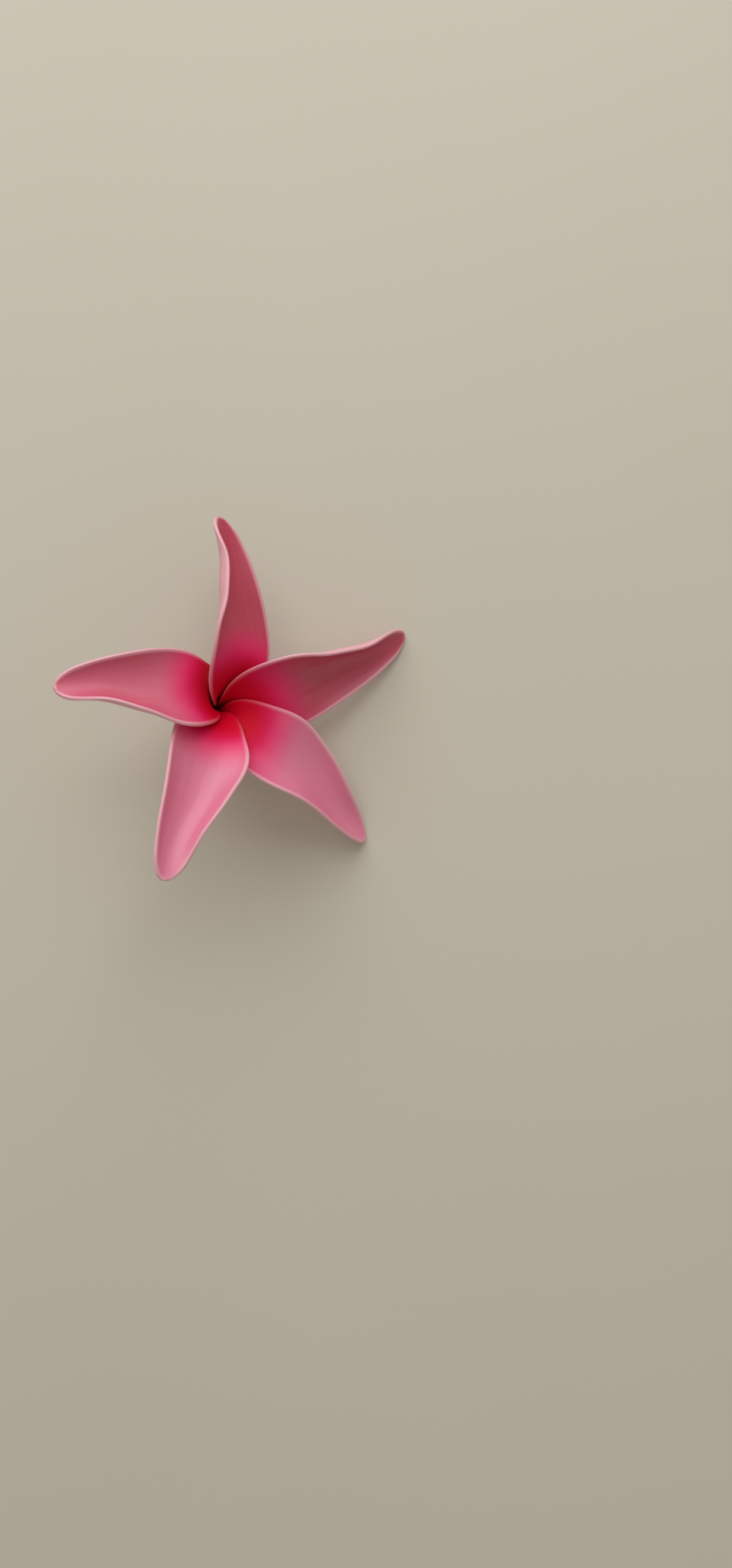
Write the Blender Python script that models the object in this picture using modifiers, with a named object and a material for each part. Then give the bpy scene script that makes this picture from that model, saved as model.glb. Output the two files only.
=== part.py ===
"""A frangipani flower of moulded soft foam, laid face up on a table.

Five long petals turn round a small throat like a pinwheel. Each petal's raised edge lies over the next petal,
and its low edge is tucked under the one before. Behind the throat the petals' narrow roots stand side by side
in a short tube. The flower leans on the end of that tube and on the tips of two petals. Metres, +Z up.
"""

import bmesh
import bpy
import numpy as np
from mathutils import Matrix, Vector

MM = 0.001

# Driving dimensions.
FOAM = 1.3 * MM  # thickness of the petals
ROOT_FOAM = 1.1 * MM  # thickness where the petals are pressed together in the throat
PETAL_LENGTH = 66 * MM  # from the end of the root to the tip, along the petal
TUBE_RADIUS = 2.35 * MM  # from the axis to the middle of the foam, at the end of the roots
TIP_ROUND = 0.7 * MM  # how far the corners of the tip are drawn back
TIP_REACH = 5 * MM  # the last stretch of a petal, over which it narrows to its tip
TIP_SHARE = 0.25  # what is left of its width at the very end

# Stations along a petal, as distances from the end of its root, and its shape there.
STATIONS = np.array((0, 10, 14.5, 19.5, 26, 33.5, 42.5, 54, 66)) * MM
HIGH_WIDTH = np.array((1.1, 0.8, 4.2, 8.3, 10.4, 11.7, 10.2, 7.4, 2.9)) * MM  # middle line to raised edge
LOW_WIDTH = np.array((1.1, 3.2, 5.8, 7.4, 9.4, 12.6, 12.1, 7.9, 2.9)) * MM  # middle line to low edge
CLIMB = np.radians((88, 88, 71, 49, 29, 6, 2, 1, 5))  # slope of the petal's middle line
SWIRL = np.radians((-20, -28, -4, -14, -11, -3, 0, -1, 0))  # turn of the middle line about the axis
BANK = np.radians((0, 27, 25, 16, 9, 12, 17, 18, 9))  # raised edge above low edge
HIGH_CURL = np.radians((0, 4, 6, -2, 9, 48, 76, 79, 23))  # turn of the surface from middle to raised edge
LOW_CURL = np.radians((0, -25, -29, -31, -16, 20, 55, 72, 48))  # turn of the surface from low edge to middle

# How each petal has been set by hand: a sideways bend, a lift and a twist in degrees, and a stretch.
SETTINGS = {
    "petal_1": (-5.5, -3.5, 12, -0.05),
    "petal_2": (-4, 9.5, 19.5, 0.075),
    "petal_3": (3, -5.5, -30.5, 0.075),
    "petal_4": (-0.5, 7.5, -4, 0.03),
    "petal_5": (7, -8, 3, -0.125),
}
# The distances from the root over which each of these comes in.
BEND_SPAN = (12 * MM, 32 * MM)
LIFT_SPAN = (19 * MM, 35 * MM)
TWIST_SPAN = (22 * MM, 44 * MM)
STRETCH_SPAN = (21 * MM, 38 * MM)
FOAM_SPAN = (12 * MM, 30 * MM)  # where the foam grows from its root thickness to its full one
TIP_ROUND_SPAN = (0.8, 1)  # as shares of the petal's length

# How the flower lies.
FIRST_DIRECTION = np.radians(99.3)  # of petal_1 about the flower's axis
LEAN = np.radians(33.61)  # of the axis from upright
LEAN_TOWARDS = np.radians(9.2)

# The grid of each petal.
MIDDLE_LINE_STEPS = 400
ROWS = 18
TIP_ROWS = 1.5  # above 1, the rows are closer together towards the tip
ACROSS = (-1, -0.86, -0.45, 0, 0.45, 0.86, 1)

LEAST_CURL = 1e-4  # a flatter arc is given this turn, so that nothing is divided by 0

PINK = (0.62, 0.17, 0.26, 1)
ROUGHNESS = 0.55


def smooth_step(value, span):
    t = np.clip((value - span[0]) / (span[1] - span[0]), 0, 1)
    return t * t * (3 - 2 * t)


def along(profile, s):
    """A smooth curve through the values at the stations, read at the distances s."""
    gap = np.diff(STATIONS)
    slope = np.diff(profile) / gap
    tangent = np.empty_like(profile)
    tangent[1:-1] = (slope[:-1] * gap[1:] + slope[1:] * gap[:-1]) / (gap[1:] + gap[:-1])
    tangent[0] = slope[0]
    tangent[-1] = slope[-1]
    i = np.clip(np.searchsorted(STATIONS, s, side="right") - 1, 0, len(gap) - 1)
    t = (s - STATIONS[i]) / gap[i]
    start = (1 + 2 * t) * (1 - t) ** 2 * profile[i] + t * (1 - t) ** 2 * gap[i] * tangent[i]
    end = t * t * (3 - 2 * t) * profile[i + 1] - t * t * (1 - t) * gap[i] * tangent[i + 1]
    return start + end


def middle_line(s, lift, stretch):
    """Radius, height and slope of a petal's middle line at the distances s."""
    steps = np.linspace(0, PETAL_LENGTH, MIDDLE_LINE_STEPS)
    slope = along(CLIMB, steps) + lift * smooth_step(steps, LIFT_SPAN)
    step = steps[1] * (1 + stretch * smooth_step(steps, STRETCH_SPAN))
    radius = TUBE_RADIUS + np.cumsum(np.cos(slope) * step)
    height = np.cumsum(np.sin(slope) * step)
    return np.interp(s, steps, radius), np.interp(s, steps, height), np.interp(s, steps, slope)


def petal_points(s, v, direction, bend, lift, twist, stretch):
    """Points of a petal's middle surface: s runs from root to tip, v from the low edge to the raised edge."""
    radius, height, slope = middle_line(s, lift, stretch)
    to_end = np.clip((s - PETAL_LENGTH) / TIP_REACH + 1, 0, 1)
    tip = np.sqrt(1 - (1 - TIP_SHARE**2) * to_end**2)
    half_width = np.where(v > 0, along(HIGH_WIDTH, s), along(LOW_WIDTH, s)) * tip
    bank = along(BANK, s) + twist * smooth_step(s, TWIST_SPAN)
    curl = np.where(v > 0, along(HIGH_CURL, s), along(LOW_CURL, s))
    bow = np.where(np.abs(curl) < LEAST_CURL, LEAST_CURL, curl) / half_width  # across the petal it is an arc
    end_angle = bank + bow * v * half_width
    sideways = (np.sin(end_angle) - np.sin(bank)) / bow
    inward = (np.cos(bank) - np.cos(end_angle)) / bow
    angle = direction + along(SWIRL, s) + bend * smooth_step(s, BEND_SPAN) + sideways / radius
    out = radius - inward * np.sin(slope)
    return np.stack((out * np.cos(angle), out * np.sin(angle), height + inward * np.cos(slope)), axis=-1)


def make_petal(name, direction, collection):
    bend, lift, twist = np.radians(SETTINGS[name][:3])
    stretch = SETTINGS[name][3]
    grid = bmesh.new()
    bmesh.ops.create_grid(grid, x_segments=ROWS, y_segments=len(ACROSS) - 1, size=0.5)
    flat = np.array([vert.co[:2] for vert in grid.verts])
    u = 1 - (0.5 - flat[:, 0]) ** TIP_ROWS
    v = np.interp(flat[:, 1], np.linspace(-0.5, 0.5, len(ACROSS)), ACROSS)
    s = PETAL_LENGTH * u - TIP_ROUND * v**2 * smooth_step(u, TIP_ROUND_SPAN)
    for vert, point in zip(grid.verts, petal_points(s, v, direction, bend, lift, twist, stretch)):
        vert.co = point
    bmesh.ops.recalc_face_normals(grid, faces=grid.faces)
    mesh = bpy.data.meshes.new(name)
    grid.to_mesh(mesh)
    grid.free()
    mesh.materials.append(foam_material(name + "_foam"))
    mesh.shade_smooth()
    petal = bpy.data.objects.new(name, mesh)
    collection.objects.link(petal)
    full_thickness = petal.vertex_groups.new(name="full_thickness")
    for index, weight in enumerate(smooth_step(s, FOAM_SPAN)):
        full_thickness.add([index], weight, "REPLACE")
    wall = petal.modifiers.new("Foam", "SOLIDIFY")
    wall.thickness = FOAM
    wall.offset = 0
    wall.use_even_offset = True
    wall.vertex_group = full_thickness.name
    wall.thickness_vertex_group = ROOT_FOAM / FOAM
    rounding = petal.modifiers.new("Rounding", "SUBSURF")
    rounding.levels = 1
    rounding.render_levels = 1
    return petal


def foam_material(name):
    material = bpy.data.materials.new(name)
    material.use_nodes = True
    shader = material.node_tree.nodes["Principled BSDF"]
    shader.inputs["Base Color"].default_value = PINK
    shader.inputs["Roughness"].default_value = ROUGHNESS
    shader.inputs["Metallic"].default_value = 0
    return material


def lay_down(petals, collection):
    """Leans the flower over, then puts its lowest point on the floor and its middle over the origin."""
    flower = bpy.data.objects.new("flower", None)
    collection.objects.link(flower)
    for petal in petals:
        petal.parent = flower
    lean_axis = Vector((-np.sin(LEAN_TOWARDS), np.cos(LEAN_TOWARDS), 0))
    flower.rotation_euler = Matrix.Rotation(LEAN, 3, lean_axis).to_euler()
    bpy.context.view_layer.update()
    graph = bpy.context.evaluated_depsgraph_get()
    points = []
    for petal in petals:
        evaluated = petal.evaluated_get(graph)
        points += [evaluated.matrix_world @ vert.co for vert in evaluated.to_mesh().vertices]
        evaluated.to_mesh_clear()
    low = np.min(points, axis=0)
    middle = (low + np.max(points, axis=0)) / 2
    flower.location = (-middle[0], -middle[1], -low[2])


def main():
    for obj in list(bpy.data.objects):
        bpy.data.objects.remove(obj, do_unlink=True)
    collection = bpy.data.collections.new("frangipani_flower")
    bpy.context.scene.collection.children.link(collection)
    spacing = 2 * np.pi / len(SETTINGS)
    petals = [
        make_petal(name, FIRST_DIRECTION - spacing * number, collection) for number, name in enumerate(SETTINGS)
    ]
    lay_down(petals, collection)


main()
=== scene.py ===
# %% [markdown]
# # A frangipani flower of soft foam
# The object is an artificial frangipani (plumeria) flower, as worn in the hair. Five petals are cut from
# foam sheet, pressed hot over a mould and glued together at their roots. Each petal overlaps the next one,
# so that together they turn like a pinwheel round a small dark throat. The lesson builds the petals with
# Geometry Nodes, colours them with a shader that knows how far each point is from the root and from the
# rim, and lights them softly.

import bmesh
import bpy
import numpy as np
from mathutils import Matrix, Vector


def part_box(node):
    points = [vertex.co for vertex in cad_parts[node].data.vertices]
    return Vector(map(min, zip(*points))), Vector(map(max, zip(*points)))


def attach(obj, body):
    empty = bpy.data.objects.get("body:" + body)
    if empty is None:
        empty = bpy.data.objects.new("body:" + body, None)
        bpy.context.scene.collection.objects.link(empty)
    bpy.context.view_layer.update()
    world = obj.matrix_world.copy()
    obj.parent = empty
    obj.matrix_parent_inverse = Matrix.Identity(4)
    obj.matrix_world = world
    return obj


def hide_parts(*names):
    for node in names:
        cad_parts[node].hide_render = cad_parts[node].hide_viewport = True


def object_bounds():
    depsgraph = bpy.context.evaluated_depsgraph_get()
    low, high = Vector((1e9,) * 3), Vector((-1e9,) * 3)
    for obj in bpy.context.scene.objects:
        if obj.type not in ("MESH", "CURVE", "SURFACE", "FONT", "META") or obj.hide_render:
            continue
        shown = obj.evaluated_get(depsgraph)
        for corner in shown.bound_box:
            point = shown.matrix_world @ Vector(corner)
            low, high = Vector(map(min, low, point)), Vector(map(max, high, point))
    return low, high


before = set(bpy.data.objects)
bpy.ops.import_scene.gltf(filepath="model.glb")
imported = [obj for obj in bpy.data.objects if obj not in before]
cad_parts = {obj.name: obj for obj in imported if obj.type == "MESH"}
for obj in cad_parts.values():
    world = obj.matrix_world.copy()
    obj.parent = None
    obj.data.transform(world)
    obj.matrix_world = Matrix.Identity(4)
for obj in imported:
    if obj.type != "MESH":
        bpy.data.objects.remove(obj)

MM = 0.001
cad_box = [list(corner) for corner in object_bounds()]
petal_nodes = sorted(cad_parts)
print("the solid model holds", petal_nodes)
print("its box in mm:", [[round(value / MM, 1) for value in corner] for corner in cad_box])

# %% [markdown]
# ## The rule of a petal
# A real petal is a flat piece of foam bent over a mould, so one rule can describe all five. Think of a line
# down the middle of the petal, from the end of its root to its tip. At a few stations along that line we
# say how steep it is, how far the foam reaches to each side, how much it banks and how much each side
# curls. Between the stations a smooth curve fills in the rest. Most of the numbers at the stations were not
# chosen by hand: another program fitted the rule to the outline of a real flower, and its results were
# rounded. A few, near the root and at the tip, were then changed. They are the numbers that the solid model
# was made with, apart from the tuck. In the tube and the throat each low edge reaches a little further
# under its neighbour than in the solid model, whose petals have to stay apart, because the real petals are
# glued there and let no light through.

# %% Sizes and stations
PETAL_LENGTH = 66 * MM
TUBE_RADIUS = 2.35 * MM
FOAM = 1.3 * MM
ROOT_FOAM = 1.1 * MM
TIP_ROUND = 0.7 * MM  # how far the corners of the tip are drawn back
TIP_REACH = 5 * MM  # the last stretch of a petal, over which it narrows to its tip
TIP_SHARE = 0.25  # what is left of its width at the very end
TIP_ROUND_SPAN = (0.8, 1.0)  # where the corners begin to be drawn back, and the tip, as shares of the length
TUCK = 2.5 * MM  # how much further the low edge reaches under its neighbour in the tube and the throat
TUCK_SPAN = (16 * MM, 26 * MM)  # where that comes to an end

STATIONS = np.array((0, 10, 14.5, 19.5, 26, 33.5, 42.5, 54, 66)) * MM
HIGH_WIDTH = np.array((1.1, 0.8, 4.2, 8.3, 10.4, 11.7, 10.2, 7.4, 2.9)) * MM  # middle line to raised edge
LOW_WIDTH = np.array((1.1, 3.2, 5.8, 7.4, 9.4, 12.6, 12.1, 7.9, 2.9)) * MM  # middle line to low edge
CLIMB = np.radians((88, 88, 71, 49, 29, 6, 2, 1, 5))  # slope of the middle line
SWIRL = np.radians((-20, -28, -4, -14, -11, -3, 0, -1, 0))  # turn of the middle line about the axis
BANK = np.radians((0, 27, 25, 16, 9, 12, 17, 18, 9))  # raised edge above low edge
HIGH_CURL = np.radians((0, 4, 6, -2, 9, 48, 76, 79, 23))  # turn of the surface from middle to raised edge
LOW_CURL = np.radians((0, -25, -29, -31, -16, 20, 55, 72, 48))  # turn of the surface from low edge to middle


def smooth_step(value, start, end):
    t = np.clip((value - start) / (end - start), 0, 1)
    return t * t * (3 - 2 * t)


def along(profile, s):
    """A smooth curve through the values at the stations, read at the distances s from the root."""
    gap = np.diff(STATIONS)
    slope = np.diff(profile) / gap
    tangent = np.empty_like(profile)
    tangent[1:-1] = (slope[:-1] * gap[1:] + slope[1:] * gap[:-1]) / (gap[1:] + gap[:-1])
    tangent[0] = slope[0]
    tangent[-1] = slope[-1]
    i = np.clip(np.searchsorted(STATIONS, s, side="right") - 1, 0, len(gap) - 1)
    t = (s - STATIONS[i]) / gap[i]
    start = (1 + 2 * t) * (1 - t) ** 2 * profile[i] + t * (1 - t) ** 2 * gap[i] * tangent[i]
    end = t * t * (3 - 2 * t) * profile[i + 1] - t * t * (1 - t) * gap[i] * tangent[i + 1]
    return start + end


print("widest place of a petal:", round((HIGH_WIDTH + LOW_WIDTH).max() / MM, 1), "mm")

# %% [markdown]
# ## Five petals, no two alike
# The petals come out of one mould, but whoever glues them bends each one a little differently. So each
# petal has its own sideways bend, lift, twist and stretch, which come in past the place where the petals
# lie on each other. These numbers come from the same fit, and were rounded too. A straight line of points,
# the petal's spine, carries the values of that petal, so that one tree of Geometry Nodes can bend all five.

# %% How each petal is set: bend, lift and twist in degrees, and stretch
SETTINGS = {
    "petal_1": (-5.5, -3.5, 12, -0.05),
    "petal_2": (-4, 9.5, 19.5, 0.075),
    "petal_3": (3, -5.5, -30.5, 0.075),
    "petal_4": (-0.5, 7.5, -4, 0.03),
    "petal_5": (7, -8, 3, -0.125),
}
# The distances from the root over which each of these comes in.
BEND_SPAN = (12 * MM, 32 * MM)
LIFT_SPAN = (19 * MM, 35 * MM)
TWIST_SPAN = (22 * MM, 44 * MM)
STRETCH_SPAN = (21 * MM, 38 * MM)

FIRST_DIRECTION = np.radians(99.3)  # of petal_1 about the flower's axis
SPINE_POINTS = 400


# %% What the stations say along one petal
def spine_values(name):
    """One value of each kind for each point of the petal's spine."""
    bend, lift, twist = np.radians(SETTINGS[name][:3])
    stretch = SETTINGS[name][3]
    number = list(SETTINGS).index(name)
    s = np.linspace(0, PETAL_LENGTH, SPINE_POINTS)
    slope = along(CLIMB, s) + lift * smooth_step(s, *LIFT_SPAN)
    step = s[1] * (1 + stretch * smooth_step(s, *STRETCH_SPAN))
    direction = FIRST_DIRECTION - 2 * np.pi / len(SETTINGS) * number
    to_end = np.clip((s - PETAL_LENGTH) / TIP_REACH + 1, 0, 1)
    tip = np.sqrt(1 - (1 - TIP_SHARE**2) * to_end**2)
    tuck = TUCK * (1 - smooth_step(s, *TUCK_SPAN))
    return {
        "slope": slope,
        "radius": TUBE_RADIUS + np.cumsum(np.cos(slope) * step),
        "height": np.cumsum(np.sin(slope) * step),
        "direction": direction + along(SWIRL, s) + bend * smooth_step(s, *BEND_SPAN),
        "bank": along(BANK, s) + twist * smooth_step(s, *TWIST_SPAN),
        "high_width": along(HIGH_WIDTH, s) * tip,
        "low_width": (along(LOW_WIDTH, s) + tuck) * tip,
        "high_curl": along(HIGH_CURL, s) * tip,
        "low_curl": along(LOW_CURL, s) * tip,
    }


reach = {name: round(float(spine_values(name)["radius"][-1]) / MM, 1) for name in SETTINGS}
print("mm from the flower's axis to each tip:", reach)


# %% A spine that carries those values
def make_spine(name):
    """A straight line of points as long as the petal, which carries those values as attributes."""
    line = bpy.data.meshes.new(name + "_spine")
    points = [(distance, 0, 0) for distance in np.linspace(0, PETAL_LENGTH, SPINE_POINTS)]
    line.from_pydata(points, [(i, i + 1) for i in range(SPINE_POINTS - 1)], [])
    for label, values in spine_values(name).items():
        line.attributes.new(label, "FLOAT", "POINT").data.foreach_set("value", values.astype(np.float32))
    spine = bpy.data.objects.new("foam_" + name, line)
    bpy.context.scene.collection.objects.link(spine)
    return spine


# %% [markdown]
# ## Node trees written as sums
# Both Geometry Nodes and shaders do their arithmetic with Math nodes, and wiring dozens of them by hand
# hides the formula. Here one small class stands for a socket. Adding, multiplying or comparing it adds the
# Math node that does so, and a formula in Python reads as a formula again. Every other node comes from one
# method, `node`. `rise` is a Map Range node with a smooth step, which most of the blends below are made
# with.


# %% A socket that takes part in sums
class Wire:
    def __init__(self, bench, socket):
        self.bench = bench
        self.socket = socket

    def maths(self, operation, *values):
        return self.bench.node("ShaderNodeMath", {"operation": operation}, dict(enumerate(values)))

    def __add__(self, other):
        return self.maths("ADD", self, other)

    def __sub__(self, other):
        return self.maths("SUBTRACT", self, other)

    def __mul__(self, other):
        return self.maths("MULTIPLY", self, other)

    def __truediv__(self, other):
        return self.maths("DIVIDE", self, other)

    def __pow__(self, other):
        return self.maths("POWER", self, other)

    def __rsub__(self, other):
        return self.maths("SUBTRACT", other, self)

    def __rtruediv__(self, other):
        return self.maths("DIVIDE", other, self)

    def __rpow__(self, other):
        return self.maths("POWER", other, self)

    def __gt__(self, other):
        return self.maths("GREATER_THAN", self, other)

    def __lt__(self, other):
        return self.maths("LESS_THAN", self, other)

    __radd__ = __add__
    __rmul__ = __mul__

    def sin(self):
        return self.maths("SINE", self)

    def cos(self):
        return self.maths("COSINE", self)

    def abs(self):
        return self.maths("ABSOLUTE", self)

    def smallest(self, other):
        return self.maths("MINIMUM", self, other)

    def largest(self, other):
        return self.maths("MAXIMUM", self, other)

    def rise(self, start, end):
        """0 before start, 1 after end, and smooth between them."""
        ends = {"From Min": start, "From Max": end, "Value": self}
        return self.bench.node("ShaderNodeMapRange", {"interpolation_type": "SMOOTHSTEP"}, ends)


# %% A node tree, and its one method for any node
class Bench:
    def __init__(self, tree):
        self.tree = tree

    def node(self, kind, settings=(), sockets=(), out=0):
        made = self.tree.nodes.new(kind)
        for name, value in dict(settings).items():
            setattr(made, name, value)
        for name, value in dict(sockets).items():
            if isinstance(value, Wire):
                self.tree.links.new(value.socket, made.inputs[name])
            else:
                made.inputs[name].default_value = value
        return Wire(self, made.outputs[out])

    def named(self, label):
        """A named attribute, in a tree of Geometry Nodes."""
        return self.node("GeometryNodeInputNamedAttribute", {"data_type": "FLOAT"}, {"Name": label})


# %% [markdown]
# ## Bending a flat sheet into a petal
# The tree starts from a flat grid. One way of the grid runs from root to tip, the other from the low edge
# to the raised edge, and its lines are closer together near the rim so that the rim can be rounded later.
# Each point asks the spine for the values at its place. Across the petal the foam follows an arc, and the
# straight line from the middle to a point of that arc, its chord, says where the point goes. A Set Position
# node moves it there. The tree also stores where each point is on the petal, for the shader to read.

# %% Store a value, and ask the spine for one
def store(bench, geometry, label, value):
    given = {"Geometry": geometry, "Name": label, "Value": value}
    return bench.node("GeometryNodeStoreNamedAttribute", {"data_type": "FLOAT", "domain": "POINT"}, given)


def from_spine(bench, line, length, label):
    """The spine's value at each point's own distance along the petal."""
    given = {"Curves": line, "Value": bench.named(label), "Factor": bench.named("along") / length}
    return bench.node("GeometryNodeSampleCurve", {"data_type": "FLOAT", "mode": "FACTOR"}, given)


def side_value(bench, line, length, label):
    """The raised side's value where a point is on that side, and the low side's where it isn't."""
    high = from_spine(bench, line, length, "high_" + label)
    low = from_spine(bench, line, length, "low_" + label)
    return low + (bench.named("across") > 0.0) * (high - low)


# %% Where a point of the sheet goes
def petal_point(bench, line, length):
    """Out from the spine, along the chord of the petal's arc.

    The chord of an arc is its length times sine(x) / x, where x is half of its turn. The first terms of the
    series for sine(x) / x are used, because they also hold where the turn is 0.
    """
    v = bench.named("across")
    half_turn = side_value(bench, line, length, "curl") * v / 2
    square = half_turn * half_turn
    sine_over_angle = 1 - square / 6 * (1 - square / 20 * (1 - square / 42))
    chord = side_value(bench, line, length, "width") * v * sine_over_angle
    chord_angle = from_spine(bench, line, length, "bank") + half_turn
    sideways = chord * chord_angle.cos()
    inward = chord * chord_angle.sin()
    radius = from_spine(bench, line, length, "radius")
    slope = from_spine(bench, line, length, "slope")
    angle = from_spine(bench, line, length, "direction") + sideways / radius
    out = radius - inward * slope.sin()
    height = from_spine(bench, line, length, "height") + inward * slope.cos()
    place = {"X": out * angle.cos(), "Y": out * angle.sin(), "Z": height}
    return bench.node("ShaderNodeCombineXYZ", {}, place)


# %% The petal's tree
ROWS = 45
COLUMNS = 11
ROW_CROWDING = 1.5  # above 1, the rows are closer together towards the tip


def petal_tree():
    tree = bpy.data.node_groups.new("Bend a foam petal", "GeometryNodeTree")
    sockets = tree.interface
    sockets.new_socket("Spine", in_out="INPUT", socket_type="NodeSocketGeometry")
    for label, kind, value in (
        ("Length", "NodeSocketFloat", PETAL_LENGTH),
        ("Tip round", "NodeSocketFloat", TIP_ROUND),
        ("Rows", "NodeSocketInt", ROWS),
        ("Columns", "NodeSocketInt", COLUMNS),
        ("Foam", "NodeSocketMaterial", None),
    ):
        socket = sockets.new_socket(label, in_out="INPUT", socket_type=kind)
        if value is not None:
            socket.default_value = value
    sockets.new_socket("Petal", in_out="OUTPUT", socket_type="NodeSocketGeometry")

    bench = Bench(tree)
    given = tree.nodes.new("NodeGroupInput")
    spine, length, tip_round, rows, columns, foam = (Wire(bench, given.outputs[i]) for i in range(6))
    grid = {"Size X": 1.0, "Size Y": 1.0, "Vertices X": rows, "Vertices Y": columns}
    sheet = bench.node("GeometryNodeMeshGrid", {}, grid)
    place = bench.node("GeometryNodeInputPosition")
    to_tip = bench.node("ShaderNodeSeparateXYZ", {}, {"Vector": place}, "X")
    to_side = bench.node("ShaderNodeSeparateXYZ", {}, {"Vector": place}, "Y")
    u = 1 - (0.5 - to_tip).largest(0.0) ** ROW_CROWDING
    v = (to_side * np.pi).sin()
    s = length * u - tip_round * v * v * u.rise(*TIP_ROUND_SPAN)
    sheet = store(bench, sheet, "along", s)
    sheet = store(bench, sheet, "across", v)
    line = bench.node("GeometryNodeMeshToCurve", {}, {"Mesh": spine})
    bent = petal_point(bench, line, length)
    moved = bench.node("GeometryNodeSetPosition", {}, {"Geometry": sheet, "Position": bent})
    half_width = side_value(bench, line, length, "width")
    inset = (half_width * (1 - bench.named("across").abs())).smallest(length - bench.named("along"))
    moved = store(bench, moved, "inset", inset)
    smooth = bench.node("GeometryNodeSetShadeSmooth", {}, {"Geometry": moved})
    real = bench.node("GeometryNodeRealizeInstances", {}, {"Geometry": smooth})
    dressed = bench.node("GeometryNodeSetMaterial", {}, {"Geometry": real, "Material": foam})
    finish = tree.nodes.new("NodeGroupOutput")
    tree.links.new(dressed.socket, finish.inputs[0])
    return tree


bend_a_petal = petal_tree()
print("the petal's tree has", len(bend_a_petal.nodes), "nodes")

# %% [markdown]
# ## Finding the throat, the rim and the back of a petal in the shader
# The foam is dyed: a dark red throat, a crimson heart, a short magenta band and then rose pink, and pale
# backs. The pale rims are a painted highlight along the rounded rim. The real petals differ in tone, and
# how much of that is dye and how much is shade is not known. Here all of it goes into the colour, part dye
# and part painted shade: each petal has its own depth of rose, deeper on petals 1 and 2 as painted shade,
# and paler on petals 3 and 4 as painted light. Faint streaks of painted sheen run along it, and the deep
# colours reach further along the low edge, as painted shade under the neighbour's raised edge. A texture
# could be painted, but the petal already knows how far each point is from its root and from its rim, so
# the colours follow those distances and stay right however it is bent. Each colour gives way to the next
# over a stretch of the petal, and those stretches overlap, so no border shows.


# %% Colours of the foam
def colour(red, green, blue):
    """A colour as a display shows it, from 0 to 255, turned into the light that Blender works with."""
    shares = np.array((red, green, blue)) / 255
    return (*np.where(shares < 0.04045, shares / 12.92, ((shares + 0.055) / 1.055) ** 2.4), 1)


THROAT = colour(146, 0, 16)
HEART = colour(204, 0, 40)
MAGENTA = colour(230, 40, 110)
DEEP_ROSE_AND_PAINTED_SHADE = colour(188, 44, 78)
PALE_ROSE_AND_PAINTED_LIGHT = colour(222, 122, 156)
# Painted highlight along the rounded rims.
PAINTED_RIM_HIGHLIGHT = colour(228, 168, 183)
BACK = colour(226, 160, 174)
# Each petal's depth of rose, part dye and part painted shade: petals 1 and 2 deeper as if in shade, 3 and 4
# paler as if lit.
PETAL_DYE_AND_PAINTED_SHADE = {"petal_1": 0, "petal_2": 0.1, "petal_3": 1, "petal_4": 0.9, "petal_5": 0.3}  # 1 is the palest dye

# %% Where each colour comes in, as distances from the root
HEART_SPAN = (11 * MM, 17 * MM)
MAGENTA_SPAN = (23 * MM, 32 * MM)
ROSE_SPAN = (27 * MM, 38 * MM)
BACK_SPAN = (16 * MM, 26 * MM)
RIM_HIGHLIGHT_SPAN = (20 * MM, 36 * MM)
SATIN_SPAN = (26 * MM, 38 * MM)
# How far in from the rim the painted rim highlight reaches.
RIM_HIGHLIGHT_WIDTH = (0.1 * MM, 1.3 * MM)  # from all pale to all dyed, as distances from the rim
RIM_HIGHLIGHT_STRENGTH = 0.8
# Painted shade: the deep colours reach further along the low edge, which lies under its neighbour's raised
# edge.
LOW_EDGE_SHADE_LEAD = 2 * MM  # how much sooner the colours change at the raised edge than in the middle
UNEVENNESS = 3 * MM  # how far the dye has run here and there
# Streaks of painted sheen along each petal, paler and deeper rose in turn.
STREAKS_ACROSS = 6
STREAK_LENGTH = 30 * MM
SHEEN_STREAK_STRENGTH = 0.4
STREAK_SHIFT = 10  # so that no two petals have the same streaks

# %% How rough the skin is
ROUGHNESS = 0.46
GRAIN_ROUGHNESS = 0.1
GRAIN_HEIGHT = 0.1 * MM


# %% The foam's material
def mix(bench, share, first, second):
    """A blend of two colours: all first at 0, all second at 1."""
    return bench.node("ShaderNodeMix", {"data_type": "RGBA"}, {0: share, 6: first, 7: second}, 2)


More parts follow.
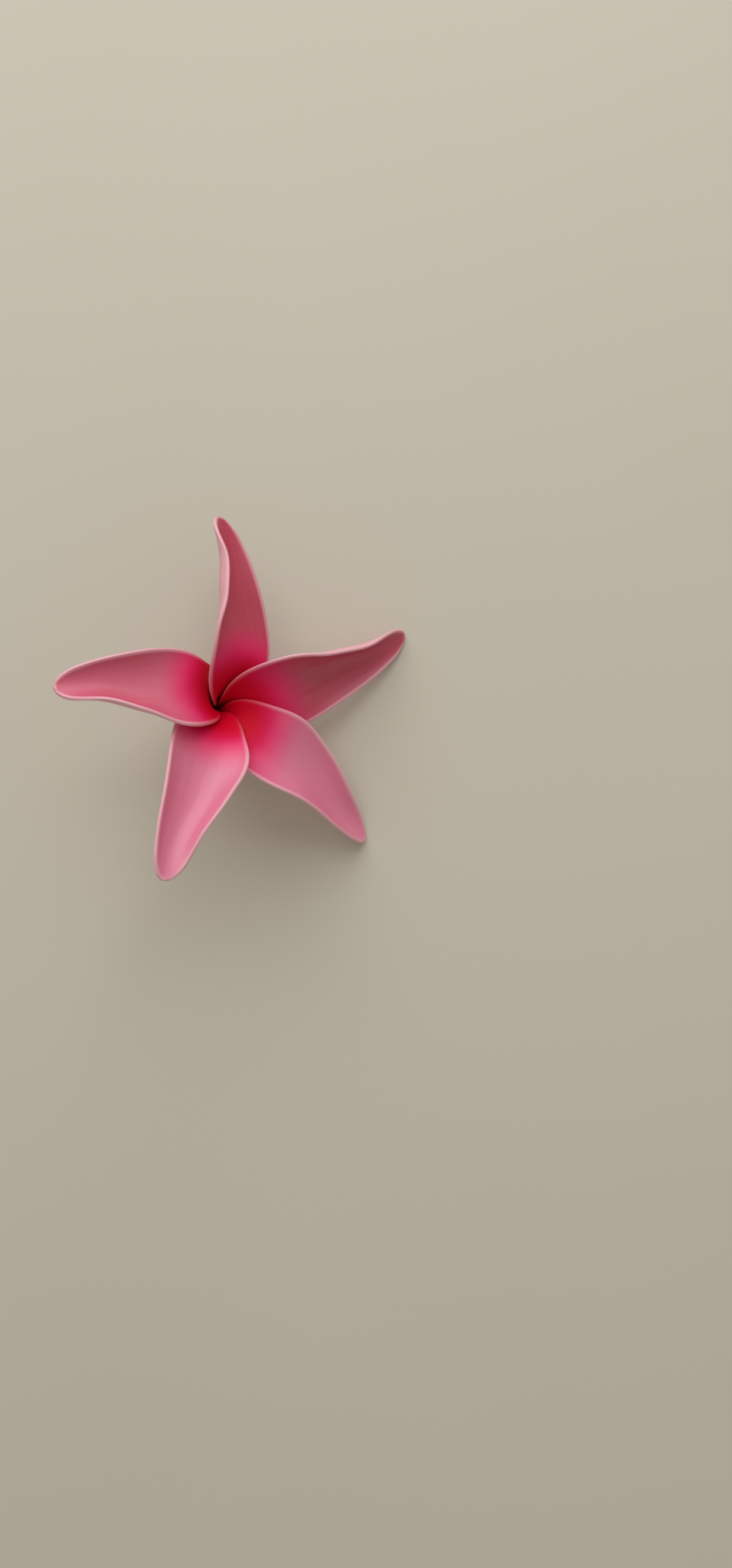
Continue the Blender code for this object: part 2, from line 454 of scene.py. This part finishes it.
def foam_material():
    material = bpy.data.materials.new("petal_foam")
    material.use_nodes = True
    bench = Bench(material.node_tree)
    shader = material.node_tree.nodes["Principled BSDF"]

    def read(label):
        return bench.node("ShaderNodeAttribute", {"attribute_name": label}, {}, "Fac")

    position = bench.node("ShaderNodeTexCoord", {}, {}, "Object")
    cloud = bench.node("ShaderNodeTexNoise", {}, {"Vector": position, "Scale": 90.0, "Detail": 3.0}, 0)
    distance = read("along") + read("across") * LOW_EDGE_SHADE_LEAD + (cloud - 0.5) * UNEVENNESS
    to_heart = mix(bench, distance.rise(*HEART_SPAN), THROAT, HEART)
    to_magenta = mix(bench, distance.rise(*MAGENTA_SPAN), to_heart, MAGENTA)
    width_way = read("across") * STREAKS_ACROSS
    length_way = read("along") / STREAK_LENGTH
    shift = read("dye_and_painted_shade") * STREAK_SHIFT
    strands = bench.node("ShaderNodeCombineXYZ", {}, {"X": width_way, "Y": length_way, "Z": shift})
    # Painted sheen, in streaks along the petal.
    painted_sheen_streaks = bench.node("ShaderNodeTexNoise", {}, {"Vector": strands, "Scale": 1.0, "Detail": 2.0}, 0)
    # Painted light and shade: each petal's rose is deeper or paler by how it lay in the light.
    rose_with_painted_light = mix(bench, read("dye_and_painted_shade") + (painted_sheen_streaks - 0.5) * SHEEN_STREAK_STRENGTH, DEEP_ROSE_AND_PAINTED_SHADE, PALE_ROSE_AND_PAINTED_LIGHT)
    face = mix(bench, distance.rise(*ROSE_SPAN), to_magenta, rose_with_painted_light)
    both_sides = mix(bench, read("outer") * distance.rise(*BACK_SPAN), face, BACK)
    # Painted highlight: the rims are lightened past the heart.
    rim_highlight = (1 - read("inset").rise(*RIM_HIGHLIGHT_WIDTH)) * distance.rise(*RIM_HIGHLIGHT_SPAN)
    tinted = mix(bench, rim_highlight * RIM_HIGHLIGHT_STRENGTH, both_sides, PAINTED_RIM_HIGHLIGHT)
    bench.tree.links.new(tinted.socket, shader.inputs["Base Color"])

    # The skin is finely grained, and past the heart it has a soft satin sheen.
    skin = bench.node("ShaderNodeTexNoise", {}, {"Vector": position, "Scale": 1500.0, "Detail": 4.0}, 0)
    bump = bench.node("ShaderNodeBump", {}, {"Height": skin, "Strength": 0.12, "Distance": GRAIN_HEIGHT})
    bench.tree.links.new(bump.socket, shader.inputs["Normal"])
    roughness = ROUGHNESS + skin * GRAIN_ROUGHNESS
    bench.tree.links.new(roughness.socket, shader.inputs["Roughness"])
    shader.inputs["Specular IOR Level"].default_value = 0.1
    satin = distance.rise(*SATIN_SPAN)
    bench.tree.links.new(satin.socket, shader.inputs["Coat Weight"])
    shader.inputs["Coat Roughness"].default_value = 0.5
    shader.inputs["Coat IOR"].default_value = 1.7
    return material


petal_foam = foam_material()
print("the foam's material has", len(petal_foam.node_tree.nodes), "nodes")

# %% [markdown]
# ## From sheet to foam
# The tree gives a sheet without thickness. Solidify gives it the foam's thickness, a little less at the
# root where the petals are pressed together and less again towards the rim, so that Subdivision Surface
# rounds the rim off. Solidify can mark the side that it adds, and that mark becomes an attribute, so the
# shader can tell the petal's back from its face.


# %% Bend the sheet of one petal
def evaluated_mesh(obj):
    graph = bpy.context.evaluated_depsgraph_get()
    finished = obj.evaluated_get(graph)
    return bpy.data.meshes.new_from_object(finished, preserve_all_data_layers=True, depsgraph=graph)


def bend_sheet(name):
    petal = make_spine(name)
    bend = petal.modifiers.new("Bend", "NODES")
    bend.node_group = bend_a_petal
    sockets = {item.name: item.identifier for item in bend_a_petal.interface.items_tree}
    bend[sockets["Length"]] = PETAL_LENGTH
    bend[sockets["Tip round"]] = TIP_ROUND
    bend[sockets["Rows"]] = ROWS
    bend[sockets["Columns"]] = COLUMNS
    bend[sockets["Foam"]] = petal_foam
    sheet = evaluated_mesh(petal)
    petal.modifiers.remove(bend)
    petal.data = sheet
    return petal


# %% Give it its foam
FOAM_SPAN = (12 * MM, 30 * MM)  # where the foam grows from its root thickness to its full one
NOSE = 0.55  # share of the full thickness at the very rim
SHOULDER = 0.85  # and a little way in from it
SHOULDER_INSET = 0.8 * MM
FULL_INSET = 4 * MM  # where the foam has all its thickness


def attribute_values(mesh, label):
    values = np.empty(len(mesh.vertices), np.float32)
    mesh.attributes[label].data.foreach_get("value", values)
    return values


def thicken(petal, name):
    """Gives the sheet its foam, rounds it and notes how pale this petal's colour is: part dye, part painted
    shade.
    """
    from_root = smooth_step(attribute_values(petal.data, "along"), *FOAM_SPAN)
    inset = attribute_values(petal.data, "inset")
    nose = NOSE + (SHOULDER - NOSE) * smooth_step(inset, 0, SHOULDER_INSET)
    nose += (1 - SHOULDER) * smooth_step(inset, SHOULDER_INSET, FULL_INSET)
    thickness = petal.vertex_groups.new(name="thickness")
    petal.vertex_groups.new(name="back")
    for index, weight in enumerate(nose * (ROOT_FOAM + (FOAM - ROOT_FOAM) * from_root) / FOAM):
        thickness.add([index], float(weight), "REPLACE")
    wall = petal.modifiers.new("Foam", "SOLIDIFY")
    wall.thickness = FOAM
    wall.offset = 0
    wall.use_even_offset = True
    wall.vertex_group = "thickness"
    wall.thickness_vertex_group = 0
    wall.shell_vertex_group = "back"
    rounding = petal.modifiers.new("Rounding", "SUBSURF")
    rounding.levels = 2
    rounding.render_levels = 2
    rounded = evaluated_mesh(petal)
    back = petal.vertex_groups["back"].index
    weights = [sum(item.weight for item in vert.groups if item.group == back) for vert in rounded.vertices]
    rounded.attributes.new("outer", "FLOAT", "POINT").data.foreach_set("value", weights)
    dye_and_painted_shade = [PETAL_DYE_AND_PAINTED_SHADE[name]] * len(rounded.vertices)
    rounded.attributes.new("dye_and_painted_shade", "FLOAT", "POINT").data.foreach_set("value", dye_and_painted_shade)
    petal.modifiers.clear()
    petal.vertex_groups.clear()
    petal.data = rounded
    return petal


# %% Make all five
petals = {name: thicken(bend_sheet(name), name) for name in SETTINGS}
print({name: len(petal.data.polygons) for name, petal in petals.items()}, "faces")

# %% [markdown]
# ## Laying the flower down
# A flower like this cannot stand on its narrow tube. Put down face up, it tips over until the end of the
# tube and the tips of two petals touch the table. Another program worked out that lean from the flower's
# hull. The same lean is applied to every mesh, and the flower is then moved so that its petals fill the
# boxes of the solid ones.

# %% Lean, then place
LEAN = np.radians(33.61)
LEAN_TOWARDS = np.radians(9.2)


def vertex_array(mesh):
    points = np.empty(len(mesh.vertices) * 3, np.float32)
    mesh.vertices.foreach_get("co", points)
    return points.reshape(-1, 3)


def box_middle(mesh):
    points = vertex_array(mesh)
    return (points.min(axis=0) + points.max(axis=0)) / 2


lean = Matrix.Rotation(LEAN, 4, Vector((-np.sin(LEAN_TOWARDS), np.cos(LEAN_TOWARDS), 0)))
for petal in petals.values():
    petal.data.transform(lean)
misses = [
    np.mean([list(corner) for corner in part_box(name)], axis=0) - box_middle(petal.data)
    for name, petal in petals.items()
]
place = np.mean(misses, axis=0)
place[2] = cad_box[0][2] - min(vertex_array(petal.data)[:, 2].min() for petal in petals.values())
for petal in petals.values():
    petal.data.transform(Matrix.Translation(place))
print("the tube's end is at", (place / MM).round(1), "mm")
print("the five boxes agree on that place to within", (np.ptp(misses, axis=0) / MM).round(2), "mm")

# %% Hand the petals to the frame
for name, petal in petals.items():
    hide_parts(name)
    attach(petal, "root")
print(len(petals), "petals take the place of the solid ones")

# %% [markdown]
# ## Floor, light and camera
# A plain, pale, warm grey floor lets the pink stand out and takes a soft shadow. Foam has no sharp shine,
# and a small lamp would draw hard shadows in the cups. So the light is one large panel, like a window,
# beyond the flower's upper petal, and an even, dim room light that fills the shadows. The camera looks
# almost straight down, into the throat. Its place and tilt come from the same fit as the petals.

# %% The floor
FLOOR_HALF_WIDTH = 3


def floor_material():
    material = bpy.data.materials.new("floor_paint")
    material.use_nodes = True
    bench = Bench(material.node_tree)
    shader = material.node_tree.nodes["Principled BSDF"]
    position = bench.node("ShaderNodeTexCoord", {}, {}, "Object")
    cloud = bench.node("ShaderNodeTexNoise", {}, {"Vector": position, "Scale": 6.0, "Detail": 2.0}, 0)
    paint = mix(bench, cloud, colour(198, 193, 180), colour(204, 199, 187))
    bench.tree.links.new(paint.socket, shader.inputs["Base Color"])
    shader.inputs["Roughness"].default_value = 0.7
    return material


def make_floor():
    grid = bmesh.new()
    bmesh.ops.create_grid(grid, x_segments=1, y_segments=1, size=FLOOR_HALF_WIDTH)
    mesh = bpy.data.meshes.new("floor")
    grid.to_mesh(mesh)
    grid.free()
    mesh.materials.append(floor_material())
    floor = bpy.data.objects.new("floor", mesh)
    bpy.context.scene.collection.objects.link(floor)
    return floor


make_floor()
print("the floor is", 2 * FLOOR_HALF_WIDTH, "m wide")

# %% The lights
WINDOW_PLACE = Vector((-0.1, 0.8, 0.6))
FLOWER_MIDDLE = Vector((0, 0, 0.02))
WINDOW_SIZE = 1.2
WINDOW_POWER = 10.2
ROOM_STRENGTH = 0.62

light = bpy.data.lights.new("window", "AREA")
light.shape = "SQUARE"
light.size = WINDOW_SIZE
light.energy = WINDOW_POWER
light.color = (1, 0.99, 0.97)
window = bpy.data.objects.new("window", light)
bpy.context.scene.collection.objects.link(window)
window.location = WINDOW_PLACE
window.rotation_euler = (FLOWER_MIDDLE - WINDOW_PLACE).to_track_quat("-Z", "Y").to_euler()

world = bpy.data.worlds.new("room")
bpy.context.scene.world = world
world.use_nodes = True
room_light = world.node_tree.nodes["Background"]
room_light.inputs["Color"].default_value = colour(214, 208, 196)
room_light.inputs["Strength"].default_value = ROOM_STRENGTH
bpy.context.scene.view_settings.view_transform = "Standard"
print("the window is", round(WINDOW_PLACE.length, 2), "m away and", WINDOW_SIZE, "m wide")

# %% The camera
CAMERA_FROM_TUBE_END = Vector((50.6, -17.8, 310)) * MM
CAMERA_TILT = np.radians((-0.18, 0.7, 0))
SENSOR_WIDTH = 36  # of the sensor and the lens, in the millimetres that Blender takes for them
FOCAL_LENGTH = 26

lens = bpy.data.cameras.new("camera")
lens.sensor_width = SENSOR_WIDTH
lens.lens = FOCAL_LENGTH
lens.clip_start = 0.01
camera = bpy.data.objects.new("camera", lens)
bpy.context.scene.collection.objects.link(camera)
camera.location = Vector(place) + CAMERA_FROM_TUBE_END
camera.rotation_euler = CAMERA_TILT
bpy.context.scene.camera = camera
print("the camera is", round(CAMERA_FROM_TUBE_END.length / MM), "mm from the tube's end")
